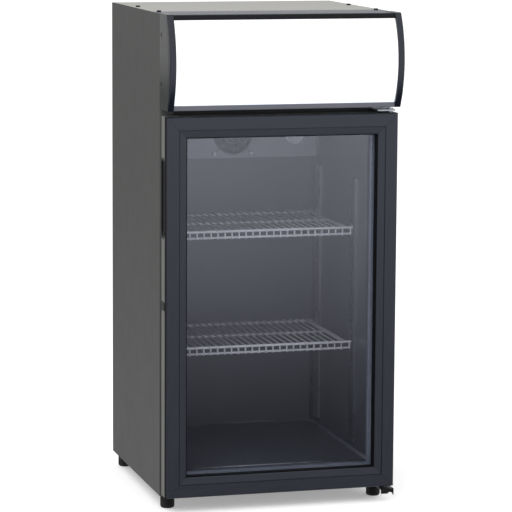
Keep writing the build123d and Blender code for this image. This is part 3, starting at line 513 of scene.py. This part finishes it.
class COOLER_OT_glazing(bpy.types.Operator):
    """Finish the two panes and the spacer between them"""

    bl_idname = "cooler.glazing"
    bl_label = "Glazing"
    bl_options = {"REGISTER", "UNDO"}

    def execute(self, context):
        pane = glass_pane("double_glazing")
        wear(pane, "glass_outer", "glass_inner")
        spacer = Finish("glazing_spacer", linear("5f6674"), 0.5, 0.2)
        spacer.mottle(spacer.noise(400, 2), 0.06)
        spacer.bump(spacer.noise(900, 2), 0.00002, 0.3)
        wear(spacer, "glass_spacer")
        return {"FINISHED"}


class COOLER_OT_cold_space(bpy.types.Operator):
    """Finish the liner, fan cover, fan, thermostat and shelf fittings"""

    bl_idname = "cooler.cold_space"
    bl_label = "Cold space"
    bl_options = {"REGISTER", "UNDO"}

    def execute(self, context):
        finishes = context.scene.cooler_finishes
        liner = Finish("liner_plastic", finishes.liner_plastic, 0.3)
        liner.mottle(liner.noise(3, 2), 0.02)
        liner.vary_roughness(liner.noise(4, 2), 0.28, 0.33)
        liner.bump(liner.noise(900, 1), 0.00001, 0.05)
        wear(liner, "inner_liner")
        cover = Finish("cover_plastic", finishes.cover_plastic, 0.4)
        cover.mottle(cover.noise(9, 3), 0.03)
        cover.vary_roughness(cover.noise(30, 3), 0.36, 0.46)
        cover.bump(cover.noise(900, 1), 0.00001, 0.05)
        wear(cover, "fan_cover")
        black = moulded("fan_plastic", linear("1c1c1f"), 0.45)
        wear(black, "evaporator_fan_frame", "evaporator_fan_blades", "thermostat")
        fins = plated("bare_fins", linear("b9bcc0"), 0.35, "Z")
        wear(fins, "evaporator_coil", "condenser_coil")
        wire = plated("bright_wire", finishes.bright_wire, 0.3)
        wire.shader.inputs["Metallic"].default_value = 0.3
        wear(wire, "thermostat_knob", "shelf_upper", "shelf_lower")
        dull_wire = plated("fan_guard_wire", linear("6c6e73"), 0.35)
        dull_wire.shader.inputs["Metallic"].default_value = 0.3
        wear(dull_wire, "fan_guard")
        zinc = plated("zinc_strip", finishes.zinc_plate, 0.3, "Z")
        wear(zinc, "shelf_strips", "shelf_clips")
        return {"FINISHED"}


class COOLER_OT_liner_coves(bpy.types.Operator):
    """Add the rounded inner corners of the moulded liner and its front lip"""

    bl_idname = "cooler.liner_coves"
    bl_label = "Liner coves"
    bl_options = {"REGISTER", "UNDO"}

    def execute(self, context):
        finishes = context.scene.cooler_finishes
        sizes = context.scene.cooler_sizes
        cove = Finish("liner_cove", finishes.liner_plastic, 0.26)
        cove.mottle(cove.noise(3, 2), 0.02)
        cove.vary_roughness(cove.noise(4, 2), 0.24, 0.3)
        side, mouth, back, floor = LINER_SIDE, LINER_MOUTH, LINER_BACK, LINER_FLOOR
        profile = cove_profile(sizes.cove_radius)
        up = (0, 0, 1)
        low = [
            ((-side, mouth, floor), (1, 0, 0), up),
            ((-side, back, floor), (1, -1, 0), up),
            ((side, back, floor), (-1, -1, 0), up),
            ((side, mouth, floor), (-1, 0, 0), up),
        ]
        add_piece(swept("liner_floor_cove", low, profile, False), cove, "cabinet", "liner_grey")
        for label, sign in (("left", -1), ("right", 1)):
            heights = (floor + sizes.cove_radius / 2, LINER_CEILING)
            upright = [((sign * side, back, z), (-sign, 0, 0), (0, -1, 0)) for z in heights]
            mesh = swept("liner_back_cove_" + label, upright, profile, False)
            add_piece(mesh, cove, "cabinet", "liner_grey")
        lip = plated("liner_lip", finishes.zinc_plate, 0.3, "X")
        radius = sizes.lip_radius
        half_round = [(radius * (1 - math.cos(t)), radius * math.sin(t)) for t in LIP_TURNS]
        inner = side - sizes.cove_radius
        edge = [((x, mouth, floor), (0, 1, 0), up) for x in (-inner, inner)]
        add_piece(swept("liner_front_lip", edge, half_round, False), lip, "cabinet", "zinc")
        return {"FINISHED"}


GASKET_CORNERS = (-0.204, 0.204, 0.0405, 0.706)
GASKET_PLANE = -0.169
GASKET_PROFILE = (
    (2, 0),
    (12, 0),
    (12, 1.5),
    (9.5, 2.8),
    (12.5, 4.2),
    (9.5, 5.6),
    (12.5, 6.6),
    (13.7, 7.4),
    (13.7, 9.2),
    (13, 9.65),
    (1, 9.65),
    (0.3, 9.2),
    (0.3, 7.4),
    (1.5, 6.6),
    (4.5, 5.6),
    (1.5, 4.2),
    (4.5, 2.8),
    (2, 1.5),
)


class COOLER_OT_gasket(bpy.types.Operator):
    """Replace the plain door gasket by one with bellows on both sides"""

    bl_idname = "cooler.gasket"
    bl_label = "Door gasket"
    bl_options = {"REGISTER", "UNDO"}

    def execute(self, context):
        left, right, low, high = GASKET_CORNERS
        back = (0, 1, 0)
        stations = [
            ((left, GASKET_PLANE, low), (1, 0, 1), back),
            ((right, GASKET_PLANE, low), (-1, 0, 1), back),
            ((right, GASKET_PLANE, high), (-1, 0, -1), back),
            ((left, GASKET_PLANE, high), (1, 0, -1), back),
        ]
        profile = [(a / 1000, b / 1000) for a, b in GASKET_PROFILE]
        soft = rubber("gasket_rubber", linear("2b2c2e"))
        mesh = swept("bellows_gasket", stations, profile, True)
        add_piece(mesh, soft, "door", "rubber_black", "door_gasket")
        return {"FINISHED"}


DIAL_CENTRE = (0.112, 0.1109, 0.649)
DIAL_START, DIAL_SWEEP = -135, 270
DIGIT_RELIEF = 0.00012
DIAL_LAST = 7


class COOLER_OT_dial(bpy.types.Operator):
    """Add the raised numbers round the thermostat knob"""

    bl_idname = "cooler.dial"
    bl_label = "Dial numbers"
    bl_options = {"REGISTER", "UNDO"}

    def execute(self, context):
        sizes = context.scene.cooler_sizes
        build = bmesh.new()
        for number in range(1, DIAL_LAST + 1):
            text = bpy.data.curves.new("digit", "FONT")
            text.body = str(number)
            text.size = sizes.digit_height
            text.extrude = DIGIT_RELIEF
            text.align_x = "CENTER"
            text.align_y = "CENTER"
            holder = bpy.data.objects.new("digit", text)
            digit = bpy.data.meshes.new_from_object(holder)
            angle = math.radians(DIAL_START + DIAL_SWEEP * (number - 1) / (DIAL_LAST - 1))
            away = Vector((math.sin(angle), 0, math.cos(angle))) * sizes.dial_radius
            upright = Matrix.Rotation(math.pi / 2, 4, "X")
            digit.transform(Matrix.Translation(Vector(DIAL_CENTRE) + away) @ upright)
            build.from_mesh(digit)
            bpy.data.objects.remove(holder)
            bpy.data.curves.remove(text)
            bpy.data.meshes.remove(digit)
        mesh = bpy.data.meshes.new("dial_numbers")
        build.to_mesh(mesh)
        build.free()
        ink = moulded("dial_ink", linear("e8e8ea"), 0.4)
        add_piece(mesh, ink, "cabinet", "white_sheet")
        return {"FINISHED"}


class COOLER_OT_machinery(bpy.types.Operator):
    """Finish the machinery behind the canopy"""

    bl_idname = "cooler.machinery"
    bl_label = "Machinery"
    bl_options = {"REGISTER", "UNDO"}

    def execute(self, context):
        finishes = context.scene.cooler_finishes
        shell = powder_coat("compressor_enamel", linear("101112"), 0.3)
        wear(shell, "compressor", "condenser_fan_motor")
        blades = moulded("condenser_fan_plastic", linear("1a1a1c"), 0.5)
        wear(blades, "condenser_fan_blades", "inlet_module", "light_switch_rocker")
        copper = plated("copper_tube", finishes.copper, 0.3)
        wear(copper, "refrigerant_pipes")
        return {"FINISHED"}


class COOLER_OT_hardware(bpy.types.Operator):
    """Finish hinges, screws, feet and rubber buffers"""

    bl_idname = "cooler.hardware"
    bl_label = "Hardware"
    bl_options = {"REGISTER", "UNDO"}

    def execute(self, context):
        finishes = context.scene.cooler_finishes
        zinc = plated("zinc_hardware", finishes.zinc_plate, 0.26)
        wear(zinc, "hinge_bracket_top", "hinge_pins")
        screws = plated("screw_plate", finishes.zinc_plate, 0.3)
        screws.blacken_between(*DARK_SCREWS)
        wear(screws, "casing_screws")
        black = powder_coat("black_enamel", linear("141416"), 0.35)
        wear(black, "hinge_bracket_bottom")
        feet = rubber("foot_rubber", finishes.foot_rubber)
        wear(feet, "foot_front_left", "foot_front_right", "foot_rear_left", "foot_rear_right")
        wear(feet, "rubber_buffers")
        return {"FINISHED"}


VEIL_CORNERS = ((-3, -0.95, -2), (3, -0.95, -2), (3, -0.95, 2.4), (-3, -0.95, 2.4))
VEIL_HEIGHTS = (-0.1, 0.7)
VEIL_LEVELS = (0.06, 0.95)
VEIL_TINT = (0.93, 0.96, 1.08, 1)


def veil_card(name):
    """An upright card that only reflections see, dim at its foot and bright at its head."""
    mesh = bpy.data.meshes.new(name)
    mesh.from_pydata(VEIL_CORNERS, [], [(0, 1, 2, 3)])
    made = bpy.data.objects.new(name, mesh)
    bpy.context.scene.collection.objects.link(made)
    mat = bpy.data.materials.new(name)
    mat.use_nodes = True
    tree = mat.node_tree
    tree.nodes.clear()
    out = tree.nodes.new("ShaderNodeOutputMaterial")
    emit = tree.nodes.new("ShaderNodeEmission")
    tree.links.new(emit.outputs["Emission"], out.inputs["Surface"])
    emit.inputs["Color"].default_value = VEIL_TINT
    coords = tree.nodes.new("ShaderNodeTexCoord")
    split = tree.nodes.new("ShaderNodeSeparateXYZ")
    tree.links.new(coords.outputs["Object"], split.inputs["Vector"])
    spread = tree.nodes.new("ShaderNodeMapRange")
    spread.interpolation_type = "SMOOTHSTEP"
    spread.inputs["From Min"].default_value, spread.inputs["From Max"].default_value = VEIL_HEIGHTS
    spread.inputs["To Min"].default_value, spread.inputs["To Max"].default_value = VEIL_LEVELS
    tree.links.new(split.outputs["Z"], spread.inputs["Value"])
    tree.links.new(spread.outputs["Result"], emit.inputs["Strength"])
    mesh.materials.append(mat)
    made.visible_camera = False
    made.visible_diffuse = False
    made.visible_shadow = False
    made.visible_transmission = False
    return made


def area_light(name, place, target, size, power):
    """A soft rectangular light turned towards a point."""
    data = bpy.data.lights.new(name, "AREA")
    data.shape = "RECTANGLE"
    data.size, data.size_y = size
    data.energy = power
    lamp = bpy.data.objects.new(name, data)
    lamp.location = place
    lamp.rotation_euler = (Vector(target) - Vector(place)).to_track_quat("-Z", "Y").to_euler()
    bpy.context.scene.collection.objects.link(lamp)
    return lamp


REFLECTED_SURROUND = (
    (0.0, 0.5),
    (0.375, 0.5),
    (0.44, 0.26),
    (0.4585, 0.1),
    (0.4625, 0.34),
    (0.56, 0.42),
    (0.7, 0.9),
)


def surround(tree, strength):
    """White to look at, even to light by, and in reflections dark at the horizon and bright above."""
    sky = tree.nodes["Background"]
    coords = tree.nodes.new("ShaderNodeTexCoord")
    split = tree.nodes.new("ShaderNodeSeparateXYZ")
    tree.links.new(coords.outputs["Generated"], split.inputs["Vector"])
    height = tree.nodes.new("ShaderNodeMapRange")
    height.inputs["From Min"].default_value = -1
    tree.links.new(split.outputs["Z"], height.inputs["Value"])
    ramp = tree.nodes.new("ShaderNodeValToRGB")
    points = ramp.color_ramp.elements
    while len(points) < len(REFLECTED_SURROUND):
        points.new(0.5)
    for point, (place, level) in zip(points, REFLECTED_SURROUND):
        point.position = place
        point.color = (level, level, level * 1.03, 1)
    tree.links.new(height.outputs["Result"], ramp.inputs["Fac"])
    path = tree.nodes.new("ShaderNodeLightPath")
    mix = tree.nodes.new("ShaderNodeMixRGB")
    mix.inputs[1].default_value = (1, 1, 1, 1)
    tree.links.new(path.outputs["Is Glossy Ray"], mix.inputs[0])
    tree.links.new(ramp.outputs["Color"], mix.inputs[2])
    tree.links.new(mix.outputs[0], sky.inputs["Color"])
    sky.inputs["Strength"].default_value = strength


FLOOR_REACH = 40
FLOOR_GLOW = 0.3
KEY_LIGHT = ((-1.8, -2.6, 2.8), (0, 0, 0.5), (2.0, 2.0))
FILL_LIGHT = ((2.4, -2.2, 1.6), (0, 0, 0.4), (1.6, 2.0))
CAMERA_PLACE = (-1.3058, -4.708, 1.157)
CAMERA_TURN = 15.589
CAMERA_PITCH = 8.418
CAMERA_ROLL = 0.339
SENSOR_WIDTH = 36
FARTHEST = 200


class COOLER_OT_stage(bpy.types.Operator):
    """Make the floor, lights and camera"""

    bl_idname = "cooler.stage"
    bl_label = "Studio"
    bl_options = {"REGISTER", "UNDO"}

    def execute(self, context):
        studio = context.scene.cooler_studio
        mesh = bpy.data.meshes.new("studio_floor")
        far = FLOOR_REACH
        mesh.from_pydata([(-far, -far, 0), (far, -far, 0), (far, far, 0), (-far, far, 0)], [], [(0, 1, 2, 3)])
        floor = bpy.data.objects.new("studio_floor", mesh)
        bpy.context.scene.collection.objects.link(floor)
        ground = Finish("studio_floor", studio.floor_colour, 0.8, Specular_IOR_Level=0.1)
        ground.mottle(ground.noise(3, 2), 0.005)
        ground.shader.inputs["Emission Color"].default_value = (1, 1, 1, 1)
        ground.shader.inputs["Emission Strength"].default_value = FLOOR_GLOW
        mesh.materials.append(ground.material)
        floor.visible_glossy = False

        world = bpy.data.worlds.new("studio_surround")
        bpy.context.scene.world = world
        world.use_nodes = True
        surround(world.node_tree, studio.sky_strength)

        area_light("key_light", *KEY_LIGHT, studio.key_power)
        area_light("fill_light", *FILL_LIGHT, studio.fill_power)
        veil_card("veil_card")

        data = bpy.data.cameras.new("front_camera")
        data.lens = studio.lens
        data.sensor_width = SENSOR_WIDTH
        camera = bpy.data.objects.new("front_camera", data)
        turn, pitch, roll = (math.radians(a) for a in (CAMERA_TURN, CAMERA_PITCH, CAMERA_ROLL))
        ahead = Vector((math.sin(turn) * math.cos(pitch), math.cos(turn) * math.cos(pitch), -math.sin(pitch)))
        right = ahead.cross(Vector((0, 0, 1))).normalized()
        up = right.cross(ahead)
        tilted_right = right * math.cos(roll) + up * math.sin(roll)
        tilted_up = up * math.cos(roll) - right * math.sin(roll)
        axes = Matrix((tilted_right, tilted_up, -ahead)).transposed()
        camera.matrix_world = Matrix.Translation(CAMERA_PLACE) @ axes.to_4x4()
        data.clip_end = FARTHEST
        bpy.context.scene.collection.objects.link(camera)
        bpy.context.scene.camera = camera
        bpy.context.scene.view_settings.view_transform = "Standard"
        return {"FINISHED"}


STEPS = (
    COOLER_OT_casing,
    COOLER_OT_canopy,
    COOLER_OT_door,
    COOLER_OT_glazing,
    COOLER_OT_cold_space,
    COOLER_OT_liner_coves,
    COOLER_OT_gasket,
    COOLER_OT_dial,
    COOLER_OT_machinery,
    COOLER_OT_hardware,
    COOLER_OT_stage,
)


class COOLER_PT_steps(bpy.types.Panel):
    """Lists the steps and their settings."""

    bl_idname = "COOLER_PT_steps"
    bl_label = "Glass door merchandiser"
    bl_space_type = "VIEW_3D"
    bl_region_type = "UI"
    bl_category = "Cooler"

    def draw(self, context):
        for step in STEPS:
            self.layout.operator(step.bl_idname)
        for group in (context.scene.cooler_finishes, context.scene.cooler_sizes, context.scene.cooler_studio):
            box = self.layout.box()
            for key in group.__annotations__:
                box.prop(group, key)


GROUPS = (CoolerFinishes, CoolerSizes, CoolerStudio)


def register():
    """Register the classes and put their settings on the scene."""
    for cls in (*GROUPS, *STEPS, COOLER_PT_steps):
        bpy.utils.register_class(cls)
    bpy.types.Scene.cooler_finishes = PointerProperty(type=CoolerFinishes)
    bpy.types.Scene.cooler_sizes = PointerProperty(type=CoolerSizes)
    bpy.types.Scene.cooler_studio = PointerProperty(type=CoolerStudio)


def unregister():
    """Take the settings off the scene and unregister the classes."""
    del bpy.types.Scene.cooler_studio
    del bpy.types.Scene.cooler_sizes
    del bpy.types.Scene.cooler_finishes
    for cls in reversed((*GROUPS, *STEPS, COOLER_PT_steps)):
        bpy.utils.unregister_class(cls)


def main():
    """Build every step in order."""
    register()
    for step in STEPS:
        group, name = step.bl_idname.split(".")
        getattr(getattr(bpy.ops, group), name)()


if __name__ == "__main__":
    main()
